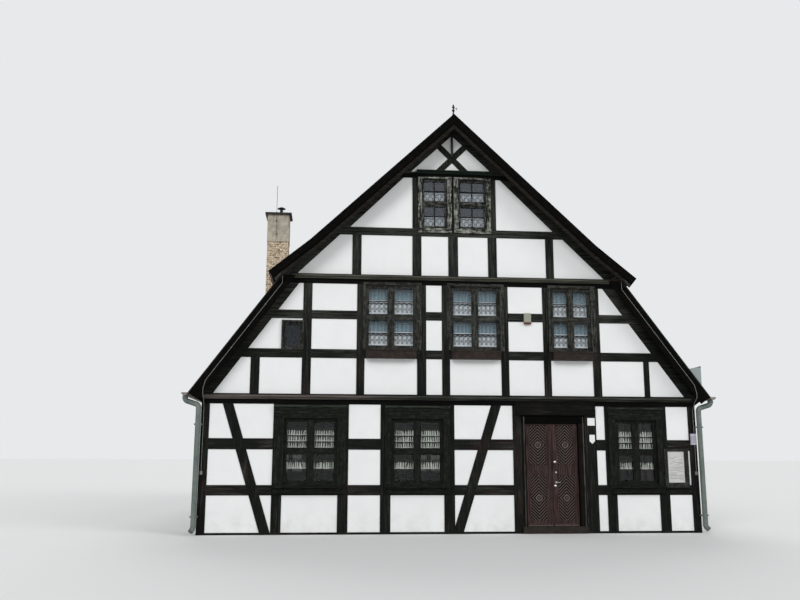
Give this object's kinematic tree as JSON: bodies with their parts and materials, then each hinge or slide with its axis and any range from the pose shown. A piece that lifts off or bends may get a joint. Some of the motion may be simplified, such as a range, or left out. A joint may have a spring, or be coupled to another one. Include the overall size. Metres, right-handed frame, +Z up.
{
  "type": "half timbered house",
  "caption": "Half timbered gable house with white plaster panels, black timbers, a broken roof and a carved double door.",
  "frame": {"origin": "centre of the footprint at ground level", "axes": "+Z up, -Y out of the street front with the door, +X to the right of someone who faces that front"},
  "size_m": [12.602, 13.5, 10.86],
  "materials": {
    "black_timber": "weathered black paint",
    "white_plaster": "lime-washed plaster",
    "floor_bricks": "worn brick paving",
    "floor_boards": "bare boards",
    "rough_timber": "rough sawn",
    "roof_tiles": "weathered clay tiles",
    "dark_metal": "black paint",
    "ledge_board": "faded red-brown paint",
    "dark_paint": "dark paint",
    "window_glass": "clear",
    "bright_metal": "satin",
    "lace": "white lace",
    "planter": "dark stained",
    "door_frame_paint": "dark brown paint",
    "threshold_stone": "worn",
    "door_wood": "red-brown paint",
    "fitting_plastic": "matt",
    "zinc": "weathered zinc grey",
    "chimney_render": "weathered render and brick"
  },
  "bodies": {
    "house": {"front_posts": "black_timber", "front_rails": "black_timber", "front_braces": "black_timber", "front_infill": "white_plaster", "back_posts": "black_timber", "back_rails": "black_timber", "back_braces": "black_timber", "back_infill": "white_plaster", "left_wall_frame": "black_timber", "left_wall_infill": "white_plaster", "right_wall_frame": "black_timber", "right_wall_infill": "white_plaster", "ground_floor": "floor_bricks", "upper_floor": "floor_boards", "attic_floor": "floor_boards", "floor_joists": "rough_timber", "purlins": "rough_timber", "gable_rafters": "black_timber", "lower_rafters": "rough_timber", "upper_rafters": "rough_timber", "roof_upper_left": "roof_tiles", "roof_upper_right": "roof_tiles", "roof_lower_left": "roof_tiles", "roof_lower_right": "roof_tiles", "ridge_cap": "roof_tiles", "verge_boards": "black_timber", "finial": "dark_metal", "weather_ledges": "ledge_board", "window_casings": "dark_paint", "window_sashes": "dark_paint", "window_glass": "window_glass", "curtain_rods": "bright_metal", "curtains": "lace", "window_boxes": "planter", "door_frame": "door_frame_paint", "threshold": "threshold_stone", "sign_board": "black_timber", "notice_board": "dark_paint", "wall_fittings": "fitting_plastic", "gutters": "zinc", "downpipes": "zinc", "chimney": "chimney_render", "chimney_cap": "dark_metal"},
    "left_leaf": {"door_leaf_left": "door_wood"},
    "right_leaf": {"door_leaf_right": "door_wood", "door_furniture": "bright_metal"}
  },
  "joints": [
    {"name": "left_leaf_hinge", "type": "hinge", "parent": "house", "child": "left_leaf", "pos_m": [1.69, -6.163, 1.35], "axis": [0, 0, 1], "range_deg": [0, 95]},
    {"name": "right_leaf_hinge", "type": "hinge", "parent": "house", "child": "right_leaf", "pos_m": [2.97, -6.163, 1.35], "axis": [0, 0, -1], "range_deg": [0, 95]}
  ]
}
